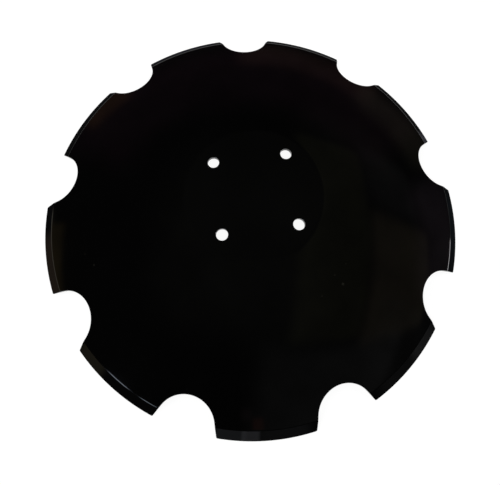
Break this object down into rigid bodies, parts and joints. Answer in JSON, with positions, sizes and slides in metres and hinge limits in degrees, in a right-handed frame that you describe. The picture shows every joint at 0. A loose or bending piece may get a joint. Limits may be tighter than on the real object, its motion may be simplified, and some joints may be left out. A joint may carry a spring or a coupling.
{
  "type": "harrow disc blade",
  "caption": "Notched, dished steel disc blade for a disc harrow, with a ground bevel round its rim, a flat hub seat and a circle of bolt holes.",
  "frame": {"origin": "centre of the bolt circle, on the outside (convex face) of the flat hub seat", "axes": "+Z along the blade's axis, out of the convex side; +X through the middle of the notch that lines up with a bolt hole"},
  "size_m": [0.5072, 0.51, 0.053],
  "materials": {
    "black_paint": "gloss"
  },
  "bodies": {
    "root": {"disc_blade": "black_paint"}
  },
  "joints": []
}
